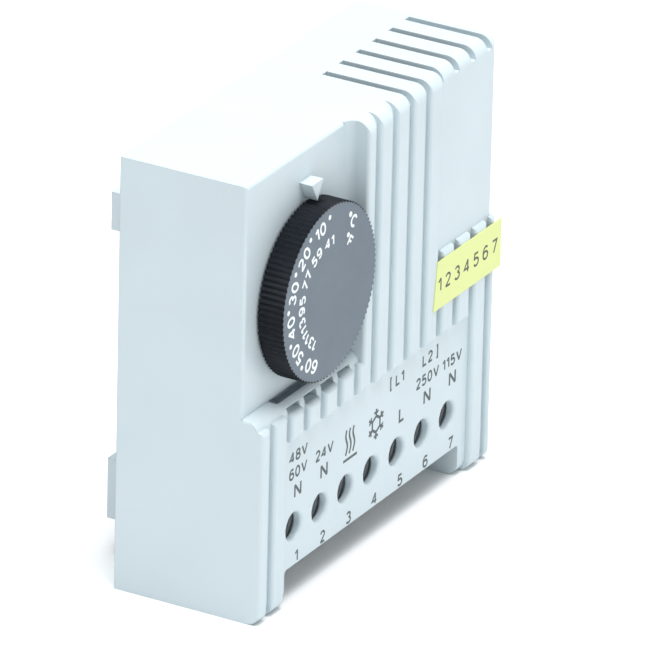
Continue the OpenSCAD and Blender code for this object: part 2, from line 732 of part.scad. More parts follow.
module latch_springs() {
    case_frame() color("#b9bec2")
        for (side = [-1, 1])
            translate([body_w / 2 + side * tongue_w / 4, side_d - cover_t / 2, window_z0])
                coil(tongue_z0 - window_z0, (latch_spring_d - latch_wire_d) / 2, latch_wire_d, latch_turns);
}

module dial_outline() {
    polygon([for (i = [0:2 * knurl_n - 1])
        (dial_r - (i % 2) * knurl_d) * [cos(i * 180 / knurl_n), sin(i * 180 / knurl_n)]]);
}

// A sector of a circle between two angles that are less than a full turn apart
module sector(a0, a1, r) {
    intersection() {
        circle(r = r);
        polygon(concat([[0, 0]], [for (s = [0:1 / 8:1]) let (a = a0 + (a1 - a0) * s)
            2 * r * [cos(a), sin(a)]]));
    }
}

module setting_dial() {
    case_frame() translate([dial_x, 0, dial_z]) color("#2b3034") {
        difference() {
            plate_y(dial_y0, dial_y1) dial_outline();
            bar_y(0, 0, dial_y0 + dial_face_t, dial_y1 + over, dial_r - dial_rim_t);
        }
        difference() {
            bar_y(0, 0, dial_y0 + dial_face_t / 2, dial_y1, hub_r);
            intersection() {
                bar_y(0, 0, dial_y0 + dial_face_t, dial_y1 + over, shaft_d / 2);
                block(-shaft_d, shaft_d, dial_y0, side_d, -shaft_d, shaft_d / 2 * flat_share);
            }
        }
        plate_y(dial_y0 + dial_face_t / 2, dial_y1) difference() {
            sector(dial_turn - 90 + stop_wait, 270 - stop_wait, stop_r + stop_ring_t / 2);
            circle(r = stop_r - stop_ring_t / 2);
        }
    }
}

module dial_shaft() {
    case_frame() translate([dial_x, 0, dial_z]) color("#c9ccce") difference() {
        bar_y(0, 0, dial_y0 + dial_face_t, shaft_y1, shaft_d / 2);
        block(-shaft_d, shaft_d, dial_y0, dial_y1, shaft_d / 2 * flat_share, shaft_d);
        block(-shaft_d, shaft_d, cam_y0, cam_y1, shaft_d / 2 * flat_share, shaft_d);
        difference() {
            bar_y(0, 0, cam_y1 + slide_gap, cam_y1 + slide_gap + clip_t, shaft_d);
            bar_y(0, 0, cam_y1, shaft_y1, shaft_d / 2 * flat_share);
        }
    }
}

module shaft_bush() {
    case_frame() color("#e4e0d2") difference() {
        union() {
            bar_y(dial_x, dial_z, recess_d, recess_back + bush_flange_t, bush_d / 2);
            bar_y(dial_x, dial_z, recess_back, recess_back + bush_flange_t, bush_flange_d / 2);
        }
        bar_y(dial_x, dial_z, recess_d - over, cam_y1, shaft_d / 2 + run_gap);
    }
}

// A snap ring in the plane of X and Z, open on the left
module ring_clip(x, z, y0, r_in, r_out) {
    difference() {
        bar_y(x, z, y0, y0 + clip_t, r_out);
        bar_y(x, z, y0 - over, y0 + clip_t + over, r_in);
        block(x - 2 * r_out, x, y0 - over, y0 + clip_t + over, z - r_in * 0.9, z + r_in * 0.9);
    }
}

module shaft_clip() {
    case_frame() color("#9fa5aa")
        ring_clip(dial_x, dial_z, cam_y1 + slide_gap, shaft_d / 2 * flat_share, clip_r);
}

module setting_cam() {
    case_frame() translate([dial_x, 0, dial_z]) color("#e9e6da") difference() {
        plate_y(cam_y0, cam_y1) polygon(cam_outline);
        intersection() {
            bar_y(0, 0, cam_y0 - over, cam_y1 + over, shaft_d / 2);
            block(-shaft_d, shaft_d, cam_y0 - over, cam_y1 + over, -shaft_d, shaft_d / 2 * flat_share);
        }
    }
}

// A straight arm between two points of the plane of X and Z
module arm_outline(x0, z0, x1, z1, w) {
    l = norm([x1 - x0, z1 - z0]);
    translate([x0, z0]) rotate(atan2(z1 - z0, x1 - x0)) translate([0, -w / 2]) square([l, w]);
}

module setting_lever() {
    tip_x = dial_x + tip_place(0)[0];
    tip_z = dial_z + tip_place(0)[1];
    case_frame() color("#d8cfa6") difference() {
        union() {
            bar_y(lever_x, lever_z, lever_y0, lever_y1, lever_hub_r);
            bar_y(tip_x, tip_z, lever_y0, lever_y1, tip_r);
            plate_y(lever_y0, lever_y1) arm_outline(lever_x, lever_z, tip_x, tip_z, lever_arm_w);
            block(lever_x, hook_x + spring_peg_r, lever_y0, lever_y1, hook_z, hook_z + lever_arm_w);
            bar_z(hook_x, spring_y, hook_z - spring_peg_l, hook_z + lever_arm_w / 2, spring_peg_r);
        }
        bar_y(lever_x, lever_z, lever_y0 - over, lever_y1 + over, lever_pin_d / 2 + run_gap);
    }
}

module lever_pin() {
    case_frame() color("#b9bec2") difference() {
        bar_y(lever_x, lever_z, recess_d + floor_t / 2, lever_y1 + slide_gap + 2 * clip_t, lever_pin_d / 2);
        difference() {
            bar_y(lever_x, lever_z, lever_y1 + slide_gap, lever_y1 + slide_gap + clip_t, lever_pin_d);
            bar_y(lever_x, lever_z, lever_y1, lever_y1 + 3 * clip_t, lever_pin_d / 2 * flat_share);
        }
    }
}

module lever_clip() {
    case_frame() color("#9fa5aa")
        ring_clip(lever_x, lever_z, lever_y1 + slide_gap, lever_pin_d / 2 * flat_share, lever_pin_d);
}

module range_spring() {
    case_frame() color("#b9bec2")
        translate([hook_x, spring_y, leg_z])
            coil(hook_z - leg_z, (range_spring_d - range_wire_d) / 2, range_wire_d, range_turns);
}

module contact_arm() {
    case_frame() color("#c98b52") difference() {
        union() {
            bar_y(arm_x, arm_z, lever_y0, arm_y1, arm_hub_r);
            block(arm_x - arm_t / 2, arm_x + arm_t / 2, arm_y0, arm_y1, arm_z, arm_z + arm_l);
            block(hook_x - spring_peg_r, arm_x, lever_y0, lever_y1, arm_z - leg_t / 2, leg_z);
            bar_z(hook_x, spring_y, arm_z, leg_z + spring_peg_l, spring_peg_r);
        }
        bar_y(arm_x, arm_z, lever_y0 - over, arm_y1 + over, journal_r + run_gap);
        bar_x(arm_x - arm_t, arm_x + arm_t, arm_mid_y, contact_z, contact_r / 2);
    }
}

module moving_contact() {
    case_frame() color("#d9d9d4") {
        bar_x(arm_x - arm_t / 2 - contact_t, arm_x - arm_t / 2, arm_mid_y, contact_z, contact_r);
        bar_x(arm_x - arm_t / 2 - contact_t / 2, arm_x + arm_t / 2 + contact_t / 2, arm_mid_y, contact_z,
              contact_r / 2);
        bar_x(arm_x + arm_t / 2, arm_x + arm_t / 2 + contact_t, arm_mid_y, contact_z, contact_r);
    }
}

module magnet_armature() {
    case_frame() color("#7d8488")
        block(arm_x - arm_t / 2 - armature_t, arm_x - arm_t / 2, arm_y0 + arm_t, arm_y1 - arm_t,
              armature_z0, armature_z0 + armature_h);
}

module arm_post() {
    case_frame() color("#c9a44c") difference() {
        union() {
            bar_y(arm_x, arm_z, arm_post_y1, board_back + pin_out, post_r / 2);
            bar_y(arm_x, arm_z, arm_post_y1, board_front, post_r);
            bar_y(arm_x, arm_z, lever_y0 - slide_gap - 2 * clip_t, arm_post_y1 + over, journal_r);
        }
        difference() {
            bar_y(arm_x, arm_z, lever_y0 - slide_gap - clip_t, lever_y0 - slide_gap, post_r);
            bar_y(arm_x, arm_z, lever_y0 - 3 * clip_t, lever_y0, journal_r * flat_share);
        }
    }
}

module arm_clip() {
    case_frame() color("#9fa5aa")
        ring_clip(arm_x, arm_z, lever_y0 - slide_gap - clip_t, journal_r * flat_share, post_r);
}

module bimetal_strip() {
    case_frame() color("#a7a08c") difference() {
        block(strip_x0, strip_x1, arm_y0, arm_y1, strip_z0, strip_z1);
        bar_x(strip_x0 - over, strip_x1 + over, arm_mid_y, strip_hinge_z, rivet_r + strip_gap);
        bar_x(strip_x0 - over, strip_x1 + over, arm_mid_y, pusher_z, pusher_r / 2);
    }
}

module bimetal_pusher() {
    case_frame() color("#f1efe8") {
        bar_x(strip_x0, strip_x1 + contact_t, arm_mid_y, pusher_z, pusher_r / 2);
        bar_x(strip_x1, arm_x - arm_t / 2 - pusher_gap, arm_mid_y, pusher_z, pusher_r);
    }
}

module bimetal_bracket() {
    tab_x0 = bracket_x0 - 3 * bracket_t;
    case_frame() color("#c9a44c") difference() {
        union() {
            block(bracket_x0, bracket_x1, arm_y0, board_front, strip_z0,
                  strip_hinge_z + 2 * rivet_r + bracket_over);
            block(tab_x0, bracket_x1, board_front - bracket_t, board_front, strip_z0,
                  adjust_z + 2 * adjust_r);
            block(tab_x0, tab_x0 + bracket_t, arm_y0, board_front, adjust_z - 2 * adjust_r,
                  adjust_z + 2 * adjust_r);
            bar_y(bracket_x0, strip_z0 + bracket_h / 2, board_front - bracket_t / 2, board_back + pin_out,
                  pin_w / 2);
        }
        bar_x(tab_x0 - over, bracket_x0, arm_mid_y, adjust_z, adjust_r);
        bar_x(bracket_x0 - over, bracket_x1 + over, arm_mid_y, strip_hinge_z, rivet_r);
    }
}

module bimetal_rivet() {
    case_frame() color("#c9ccce") {
        bar_x(bracket_x0 - bracket_t, bracket_x0, arm_mid_y, strip_hinge_z, 2 * rivet_r);
        bar_x(bracket_x0 - bracket_t / 2, strip_x1 + strip_gap + bracket_t / 2, arm_mid_y, strip_hinge_z,
              rivet_r);
        bar_x(strip_x1 + strip_gap, strip_x1 + strip_gap + bracket_t, arm_mid_y, strip_hinge_z,
              2 * rivet_r);
    }
}

module calibration_screw() {
    end_x = strip_x0 - swing_gap;
    case_frame() color("#c9ccce") difference() {
        union() {
            bar_x(end_x - adjust_l, end_x, arm_mid_y, adjust_z, adjust_r);
            bar_x(end_x - adjust_l - adjust_r, end_x - adjust_l, arm_mid_y, adjust_z, 2 * adjust_r);
        }
        block(end_x - adjust_l - 2 * adjust_r, end_x - adjust_l - adjust_r / 2, arm_mid_y - adjust_r / 4,
              arm_mid_y + adjust_r / 4, adjust_z - 3 * adjust_r, adjust_z + 3 * adjust_r);
    }
}

// A fixed contact: a bent plate that stands on the board, with a rivet that faces the arm
module fixed_contact(face_x, side) {
    plate_x0 = face_x + side * contact_t;
    plate_x1 = plate_x0 + side * bracket_t;
    difference() {
        block(min(plate_x0, plate_x1), max(plate_x0, plate_x1), arm_y0, board_front,
              contact_z - bracket_h / 2, contact_z + bracket_h / 2);
        bar_x(face_x - 3 * bracket_t, face_x + 3 * bracket_t, arm_mid_y, contact_z, contact_r / 2);
    }
    bar_x(min(face_x, plate_x0), max(face_x, plate_x0), arm_mid_y, contact_z, contact_r);
    bar_x(min(face_x, plate_x1), max(face_x, plate_x1), arm_mid_y, contact_z, contact_r / 2);
    bar_y((plate_x0 + plate_x1) / 2, contact_z, board_front - bracket_t, board_back + pin_out,
          bracket_t / 2);
}

module heating_contact() { case_frame() color("#c9a44c") fixed_contact(left_contact_x, -1); }

module cooling_contact() { case_frame() color("#c9a44c") fixed_contact(right_contact_x, 1); }

module snap_magnet() {
    case_frame() color("#4a4d50")
        block(magnet_x1 - magnet_w, magnet_x1, arm_y0 + arm_t, arm_y1 - arm_t, armature_z0,
              armature_z0 + armature_h);
}

module magnet_holder() {
    x0 = magnet_x1 - magnet_w - holder_wall_t;
    case_frame() color("#e9e6da") difference() {
        block(x0, magnet_x1 - magnet_w / 3, arm_y0, board_front, armature_z0 - holder_wall_t / 2,
              armature_z0 + armature_h + holder_wall_t / 2);
        block(magnet_x1 - magnet_w, magnet_x1, arm_y0 - over, arm_y1 - arm_t, armature_z0,
              armature_z0 + armature_h);
    }
}

// Holes of the board: screws, busbar pins, contacts and wire leads
module board_holes() {
    for (x = [board_x0 + board_hole_in, board_x1 - board_hole_in],
         z = [board_screw_low_z, board_z1 - board_hole_in]) translate([x, z]) circle(d = board_screw_d);
    for (i = [0:terminal_n - 1])
        translate([terminal_x(i) - pin_w / 2, busbar_z1 - busbar_t]) square([pin_w, busbar_t]);
    translate([arm_x, arm_z]) circle(r = post_r / 2);
    translate([bracket_x0, strip_z0 + bracket_h / 2]) circle(r = pin_w / 2);
    translate([left_contact_x - contact_t - bracket_t / 2, contact_z]) circle(r = bracket_t / 2);
    translate([right_contact_x + contact_t + bracket_t / 2, contact_z]) circle(r = bracket_t / 2);
    for (i = [0:resistor_n - 1], e = [0, 1])
        translate([resistor_x + i * resistor_pitch, resistor_z0 + e * (resistor_l + 4 * resistor_lead_d)])
            circle(d = resistor_lead_d);
    for (e = [1, 3]) translate([capacitor_x + e * capacitor_w / 4, capacitor_z + capacitor_h / 2])
        circle(d = resistor_lead_d);
}

module circuit_board() {
    case_frame() color("#5f7d4e") plate_y(board_front, board_back) difference() {
        translate([board_x0, board_z0]) square([board_x1 - board_x0, board_z1 - board_z0]);
        board_holes();
    }
}

module board_screws() {
    case_frame() color("#b9bec2")
        for (x = [board_x0 + board_hole_in, board_x1 - board_hole_in],
             z = [board_screw_low_z, board_z1 - board_hole_in]) difference() {
            union() {
                bar_y(x, z, board_front - board_screw_head_h, board_front, board_screw_head_r);
                bar_y(x, z, board_front - board_screw_head_h / 2, side_d - cover_t / 2, board_screw_d / 2);
            }
            block(x - board_screw_d, x + board_screw_d, board_front - 2 * board_screw_head_h,
                  board_front - board_screw_head_h / 2, z - board_screw_d / 8, z + board_screw_d / 8);
        }
}

module feedback_resistors() {
    body_y = board_front - resistor_d / 2 - seat_gap;
    low = 2 * resistor_lead_d;
    case_frame() color("#8fb3a6")
        for (i = [0:resistor_n - 1]) translate([resistor_x + i * resistor_pitch, 0, resistor_z0]) {
            bar_z(0, body_y, low, low + resistor_l, resistor_d / 2);
            bar_z(0, body_y, 0, 2 * low + resistor_l, resistor_lead_d / 2);
            for (z = [0, 2 * low + resistor_l])
                bar_y(0, z, body_y - resistor_lead_d / 2, board_back + pin_out, resistor_lead_d / 2);
        }
}

module spark_capacitor() {
    case_frame() color("#c2452f") {
        block(capacitor_x, capacitor_x + capacitor_w, board_front - capacitor_d, board_front - seat_gap,
              capacitor_z, capacitor_z + capacitor_h);
        for (e = [1, 3]) bar_y(capacitor_x + e * capacitor_w / 4, capacitor_z + capacitor_h / 2,
                               board_front - lead_in, board_back + pin_out, resistor_lead_d / 2);
    }
}

module terminal_block() {
    case_frame() color("#4a4f53") difference() {
        block(block_x0, block_x1, block_y0, block_y1, block_z0, block_z1);
        for (i = [0:terminal_n - 1]) {
            x = terminal_x(i);
            bar_y(x, terminal_z, block_y0 - over, shoulder_y, screw_head_d / 2 + slide_gap);
            bar_y(x, terminal_z, block_y0, pocket_y0 + over, screw_d / 2 + slide_gap);
            block(x - pocket_w / 2, x + pocket_w / 2, pocket_y0, block_y1 + over, pocket_z0, pocket_z1);
            block(x - busbar_w / 2 - seat_gap, x + busbar_w / 2 + seat_gap, busbar_y0 - seat_gap,
                  block_y1 + over, pocket_z0, busbar_z1 + seat_gap);
            bar_z(x, wire_y, plate_z - over, pocket_z0 + over, wire_d / 2);
        }
    }
}

module busbars() {
    case_frame() color("#c9a44c")
        for (i = [0:terminal_n - 1]) translate([terminal_x(i), 0, 0]) {
            block(-busbar_w / 2, busbar_w / 2, busbar_y0, busbar_y1, busbar_z0, busbar_z1);
            block(-busbar_w / 2, busbar_w / 2, busbar_y0, board_front, busbar_z1 - busbar_t, busbar_z1);
            block(-pin_w / 2, pin_w / 2, busbar_y1, board_back + pin_out, busbar_z1 - busbar_t, busbar_z1);
        }
}

module terminal_screw(i) {
    x = terminal_x(i);
    case_frame() color("#b9bec2") difference() {
        union() {
            bar_y(x, terminal_z, head_y0, head_y1, screw_head_d / 2);
            bar_y(x, terminal_z, head_y0 + screw_head_h / 2, busbar_y0 - slide_gap, screw_d / 2);
        }
        block(x - screw_head_d, x + screw_head_d, head_y0 - over, head_y0 + screw_slot_h,
              terminal_z - screw_slot_w / 2, terminal_z + screw_slot_w / 2);
    }
}

module clamp_cage(i) {
    x = terminal_x(i);
    case_frame() color("#c9ccce") difference() {
        block(x - cage_w / 2, x + cage_w / 2, cage_open_y, cage_y1, cage_z0, cage_z1);
        block(x - cage_w / 2 + cage_wall_t, x + cage_w / 2 - cage_wall_t, cage_open_y + cage_front_t,
              cage_inner_y1, cage_z0 - over, cage_z1 + over);
        bar_y(x, terminal_z, cage_open_y - over, cage_open_y + cage_front_t + over, screw_d / 2 + run_gap);
    }
}

module marker_label() {
    x1 = body_w + label_over;
    case_frame() color("#f4f79a")
        plate_y(-label_t, 0) polygon([[x1 - label_l - label_slant, label_z], [x1, label_z],
                                      [x1, label_z + label_h], [x1 - label_l, label_z + label_h]]);
}

front_housing();
rear_cover();
rail_latch();
latch_springs();
setting_dial();
dial_shaft();
shaft_bush();
shaft_clip();
setting_cam();
setting_lever();
lever_pin();
lever_clip();
range_spring();
contact_arm();
moving_contact();
magnet_armature();
arm_post();
arm_clip();
bimetal_strip();
bimetal_pusher();
bimetal_bracket();
bimetal_rivet();
calibration_screw();
heating_contact();
cooling_contact();
snap_magnet();
magnet_holder();
circuit_board();
board_screws();
feedback_resistors();
spark_capacitor();
terminal_block();
busbars();
marker_label();
terminal_screw(0);  // terminal_screw_1
terminal_screw(1);  // terminal_screw_2
terminal_screw(2);  // terminal_screw_3
terminal_screw(3);  // terminal_screw_4
terminal_screw(4);  // terminal_screw_5
terminal_screw(5);  // terminal_screw_6
terminal_screw(6);  // terminal_screw_7
clamp_cage(0);  // clamp_cage_1
clamp_cage(1);  // clamp_cage_2
clamp_cage(2);  // clamp_cage_3
clamp_cage(3);  // clamp_cage_4
clamp_cage(4);  // clamp_cage_5
clamp_cage(5);  // clamp_cage_6
clamp_cage(6);  // clamp_cage_7
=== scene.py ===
"""The looks of a cabinet temperature controller.

They are its finishes, the dial's print, the terminal marks, the label's print and the springs.
Points of the case are in millimetres from its left side, its ribs' front faces and its feet.
"""
import json
import math

import bmesh
import bpy
from mathutils import Matrix, Vector


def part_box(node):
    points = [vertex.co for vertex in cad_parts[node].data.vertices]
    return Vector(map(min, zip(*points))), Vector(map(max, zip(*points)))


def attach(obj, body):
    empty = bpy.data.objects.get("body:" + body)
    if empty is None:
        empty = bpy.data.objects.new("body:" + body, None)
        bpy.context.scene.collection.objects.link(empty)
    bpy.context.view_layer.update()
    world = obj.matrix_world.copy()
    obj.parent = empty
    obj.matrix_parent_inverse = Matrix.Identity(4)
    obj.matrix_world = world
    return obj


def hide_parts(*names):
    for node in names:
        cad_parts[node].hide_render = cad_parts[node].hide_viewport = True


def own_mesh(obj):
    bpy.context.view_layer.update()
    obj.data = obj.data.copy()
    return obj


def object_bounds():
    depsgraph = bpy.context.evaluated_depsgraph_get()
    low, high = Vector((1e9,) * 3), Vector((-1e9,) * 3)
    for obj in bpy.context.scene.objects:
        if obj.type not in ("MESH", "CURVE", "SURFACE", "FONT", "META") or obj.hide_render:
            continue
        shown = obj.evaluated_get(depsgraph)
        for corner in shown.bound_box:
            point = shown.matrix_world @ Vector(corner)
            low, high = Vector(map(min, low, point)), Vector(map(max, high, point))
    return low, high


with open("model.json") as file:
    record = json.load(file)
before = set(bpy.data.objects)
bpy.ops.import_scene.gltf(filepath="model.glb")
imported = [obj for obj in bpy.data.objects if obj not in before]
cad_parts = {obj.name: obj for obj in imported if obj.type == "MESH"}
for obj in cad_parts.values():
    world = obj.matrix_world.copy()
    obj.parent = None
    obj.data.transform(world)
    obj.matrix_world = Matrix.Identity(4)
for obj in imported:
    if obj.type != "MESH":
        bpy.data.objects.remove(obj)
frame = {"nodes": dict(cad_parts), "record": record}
cad_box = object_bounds()

MM = 0.001
TERMINALS = 7
case_low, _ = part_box("front_housing")
dial_low, dial_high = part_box("setting_dial")
label_low, label_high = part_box("marker_label")
floor_z = cad_box[0].z


def at(x, y, z):
    """A point given in millimetres from the case's left, front and lower faces."""
    return case_low + Vector((x, y, z)) * MM


def mesh_object(name, bm):
    """An object that holds the finished mesh."""
    bmesh.ops.recalc_face_normals(bm, faces=bm.faces)
    mesh = bpy.data.meshes.new(name)
    bm.to_mesh(mesh)
    bm.free()
    made = bpy.data.objects.new(name, mesh)
    bpy.context.scene.collection.objects.link(made)
    return made


# Camera: far off at the front left and a little above, as for the photograph. Angles are in degrees
CAMERA_AZIMUTH = -60.805
CAMERA_ELEVATION = 24.383
CAMERA_ROLL = 1.382
CAMERA_DISTANCE = 1.683
CAMERA_LENS = 601.52
CAMERA_SENSOR = 36
CAMERA_NEAR, CAMERA_FAR = 0.05, 20
CAMERA_AIM = Vector((0.68, -16.44, -3.46)) * MM


def make_camera():
    """The photograph's camera, aimed at a point inside the part."""
    azimuth, elevation = math.radians(CAMERA_AZIMUTH), math.radians(CAMERA_ELEVATION)
    back = Vector((
        math.sin(azimuth) * math.cos(elevation),
        -math.cos(azimuth) * math.cos(elevation),
        math.sin(elevation),
    ))
    data = bpy.data.cameras.new("camera")
    data.lens = CAMERA_LENS
    data.sensor_width = CAMERA_SENSOR
    data.clip_start = CAMERA_NEAR
    data.clip_end = CAMERA_FAR
    camera = bpy.data.objects.new("camera", data)
    bpy.context.scene.collection.objects.link(camera)
    turn = (-back).to_track_quat("-Z", "Y").to_matrix()
    roll = Matrix.Rotation(math.radians(CAMERA_ROLL), 3, "Z")
    place = Matrix.Translation(CAMERA_AIM + back * CAMERA_DISTANCE)
    camera.matrix_world = place @ (turn @ roll).to_4x4()
    bpy.context.scene.camera = camera


# Finishes. Most of a noise lies between the two values here
NOISE_LOW, NOISE_HIGH = 0.3, 0.7


def parts_of(material):
    """The material's node tree and its shader."""
    tree = material.node_tree
    return tree, tree.nodes["Principled BSDF"]


def surface(name, colour, rough, metal=0.0):
    """A material with its colour, roughness and metalness on the shader's own sockets."""
    material = bpy.data.materials.new(name)
    material.use_nodes = True
    _, shader = parts_of(material)
    shader.inputs["Base Color"].default_value = (*colour, 1)
    shader.inputs["Roughness"].default_value = rough
    shader.inputs["Metallic"].default_value = metal
    material.diffuse_color = (*colour, 1)
    return material


def noise(tree, scale, detail=2.0, stretch=(1, 1, 1)):
    """Noise over the object's own coordinates, with scale in cycles a metre."""
    where = tree.nodes.new("ShaderNodeTexCoord")
    mapping = tree.nodes.new("ShaderNodeMapping")
    mapping.inputs["Scale"].default_value = stretch
    texture = tree.nodes.new("ShaderNodeTexNoise")
    texture.inputs["Scale"].default_value = scale
    texture.inputs["Detail"].default_value = detail
    tree.links.new(where.outputs["Object"], mapping.inputs["Vector"])
    tree.links.new(mapping.outputs["Vector"], texture.inputs["Vector"])
    return texture.outputs["Fac"]


def ramp(tree, value, stops):
    """Colours at places between 0 and 1 of a value."""
    node = tree.nodes.new("ShaderNodeValToRGB")
    elements = node.color_ramp.elements
    while len(elements) < len(stops):
        elements.new(0.5)
    for element, (place, colour) in zip(elements, stops):
        element.position = place
        element.color = (*colour, 1)
    tree.links.new(value, node.inputs["Fac"])
    return node.outputs["Color"]


def spread(tree, value, low, high):
    """A noise's middle part spread from low to high."""
    node = tree.nodes.new("ShaderNodeMapRange")
    node.inputs["From Min"].default_value = NOISE_LOW
    node.inputs["From Max"].default_value = NOISE_HIGH
    node.inputs["To Min"].default_value = low
    node.inputs["To Max"].default_value = high
    tree.links.new(value, node.inputs["Value"])
    return node.outputs["Result"]


def mottle(material, scale, share):
    """Slow changes of the colour: darker by a share of it, and lighter by a third of that share."""
    tree, shader = parts_of(material)
    colour = Vector(shader.inputs["Base Color"].default_value[:3])
    stops = [(NOISE_LOW, colour * (1 - share)), (NOISE_HIGH, colour * (1 + share / 3))]
    colours = ramp(tree, noise(tree, scale, detail=3), stops)
    tree.links.new(colours, shader.inputs["Base Color"])


def uneven_gloss(material, scale, share):
    """Roughness that wanders by a share of it."""
    tree, shader = parts_of(material)
    rough = shader.inputs["Roughness"].default_value
    low, high = rough * (1 - share), rough * (1 + share)
    wandering = spread(tree, noise(tree, scale, detail=4), low, high)
    tree.links.new(wandering, shader.inputs["Roughness"])


def grain(material, scale, depth, stretch=(1, 1, 1), round_edge=0.0):
    """A fine relief of that depth in metres, over edges that are rounded by round_edge."""
    tree, shader = parts_of(material)
    bump = tree.nodes.new("ShaderNodeBump")
    bump.inputs["Strength"].default_value = 1
    bump.inputs["Distance"].default_value = depth
    tree.links.new(noise(tree, scale, stretch=stretch), bump.inputs["Height"])
    if round_edge:
        bevel = tree.nodes.new("ShaderNodeBevel")
        bevel.samples = 4
        bevel.inputs["Radius"].default_value = round_edge
        tree.links.new(bevel.outputs["Normal"], bump.inputs["Normal"])
    tree.links.new(bump.outputs["Normal"], shader.inputs["Normal"])


def moulded(name, colour, rough=0.45, round_edge=0.25 * MM, specular=0.5):
    """Moulded plastic: a fine spark-eroded grain, slight mottling and soft edges."""
    material = surface(name, colour, rough)
    _, shader = parts_of(material)
    shader.inputs["Specular IOR Level"].default_value = specular
    mottle(material, scale=60, share=0.03)
    uneven_gloss(material, scale=350, share=0.12)
    grain(material, scale=5200, depth=0.006 * MM, round_edge=round_edge)
    return material


def drawn_metal(name, colour, rough, stretch=(1, 1, 1)):
    """Plated or stamped metal with fine marks along the direction that is stretched least."""
    material = surface(name, colour, rough, metal=1)
    mottle(material, scale=220, share=0.08)
    uneven_gloss(material, scale=900, share=0.25)
    grain(material, scale=2500, depth=0.002 * MM, stretch=stretch)
    return material


DIAL_BLACK = (0.0037, 0.0062, 0.011)
# Painted glare: a grey between these two tones on the dial's front face stands in for the sheen of
# its black plastic
DIAL_GLARE_DARK, DIAL_GLARE_PALE = (0.104, 0.139, 0.175), (0.117, 0.154, 0.192)
# A surface looks forward, and gets the painted glare, where its normal's Y is below this
FORWARD_Y = -0.9


def dial_material(glare_r):
    """Black moulding with a painted glare: a grey on all that looks forward within the given radius
    of the dial's axis, standing in for the sheen of the black face.
    """
    material = moulded("dial_black", DIAL_BLACK, 0.36, specular=0.3)
    tree, shader = parts_of(material)
    dial = frame["nodes"]["setting_dial"]
    where = tree.nodes.new("ShaderNodeTexCoord")
    out = tree.nodes.new("ShaderNodeVectorMath")
    out.operation = "SUBTRACT"
    out.inputs[1].default_value = dial.matrix_world.inverted() @ ((dial_low + dial_high) / 2)
    flat = tree.nodes.new("ShaderNodeVectorMath")
    flat.operation = "MULTIPLY"
    flat.inputs[1].default_value = (1, 0, 1)
    radius = tree.nodes.new("ShaderNodeVectorMath")
    radius.operation = "LENGTH"
    near = tree.nodes.new("ShaderNodeMath")
    near.operation = "LESS_THAN"
    near.inputs[1].default_value = glare_r
    geometry = tree.nodes.new("ShaderNodeNewGeometry")
    split = tree.nodes.new("ShaderNodeSeparateXYZ")
    facing = tree.nodes.new("ShaderNodeMath")
    facing.operation = "LESS_THAN"
    facing.inputs[1].default_value = FORWARD_Y
    glare_mask = tree.nodes.new("ShaderNodeMath")
    glare_mask.operation = "MULTIPLY"
    mix = tree.nodes.new("ShaderNodeMix")
    mix.data_type = "RGBA"
    rim = shader.inputs["Base Color"].links[0].from_socket
    # The painted glare's grey, slightly mottled
    face = ramp(tree, noise(tree, 80, detail=3),
                [(NOISE_LOW, DIAL_GLARE_DARK), (NOISE_HIGH, DIAL_GLARE_PALE)])
    tree.links.new(where.outputs["Object"], out.inputs[0])
    tree.links.new(out.outputs["Vector"], flat.inputs[0])
    tree.links.new(flat.outputs["Vector"], radius.inputs[0])
    tree.links.new(radius.outputs["Value"], near.inputs[0])
    tree.links.new(geometry.outputs["True Normal"], split.inputs["Vector"])
    tree.links.new(split.outputs["Y"], facing.inputs[0])
    tree.links.new(near.outputs["Value"], glare_mask.inputs[0])
    tree.links.new(facing.outputs["Value"], glare_mask.inputs[1])
    tree.links.new(glare_mask.outputs["Value"], mix.inputs["Factor"])
    tree.links.new(rim, mix.inputs["A"])
    tree.links.new(face, mix.inputs["B"])
    tree.links.new(mix.outputs["Result"], shader.inputs["Base Color"])
    return material


BOARD_GREEN = (0.06, 0.16, 0.05)
BOARD_DARK = (0.05, 0.14, 0.045)
BOARD_TRACK = (0.12, 0.26, 0.09)


def board_material():
    """Green coated laminate with a faint weave and lighter copper tracks under the coating."""
    material = surface("board_green", BOARD_GREEN, 0.35)
    tree, shader = parts_of(material)
    where = tree.nodes.new("ShaderNodeTexCoord")
    bricks = tree.nodes.new("ShaderNodeTexBrick")
    bricks.inputs["Scale"].default_value = 160
    bricks.inputs["Mortar Size"].default_value = 0.03
    bricks.inputs["Color1"].default_value = (*BOARD_DARK, 1)
    bricks.inputs["Color2"].default_value = (*BOARD_GREEN, 1)
    bricks.inputs["Mortar"].default_value = (*BOARD_TRACK, 1)
    upright = tree.nodes.new("ShaderNodeMapping")
    upright.inputs["Rotation"].default_value = (math.radians(90), 0, 0)
    tree.links.new(where.outputs["Object"], upright.inputs["Vector"])
    tree.links.new(upright.outputs["Vector"], bricks.inputs["Vector"])
    tree.links.new(bricks.outputs["Color"], shader.inputs["Base Color"])
    grain(material, scale=3000, depth=0.004 * MM)
    return material


RESISTOR_COAT = (0.28, 0.46, 0.39)
# Where each band starts, as a share of the resistor's height, and its colour
RESISTOR_BANDS = [
    (0.2, (0.25, 0.09, 0.03)),
    (0.34, (0.01, 0.01, 0.01)),
    (0.48, (0.75, 0.3, 0.02)),
    (0.72, (0.6, 0.42, 0.12)),
]
BAND_SHARE = 0.07


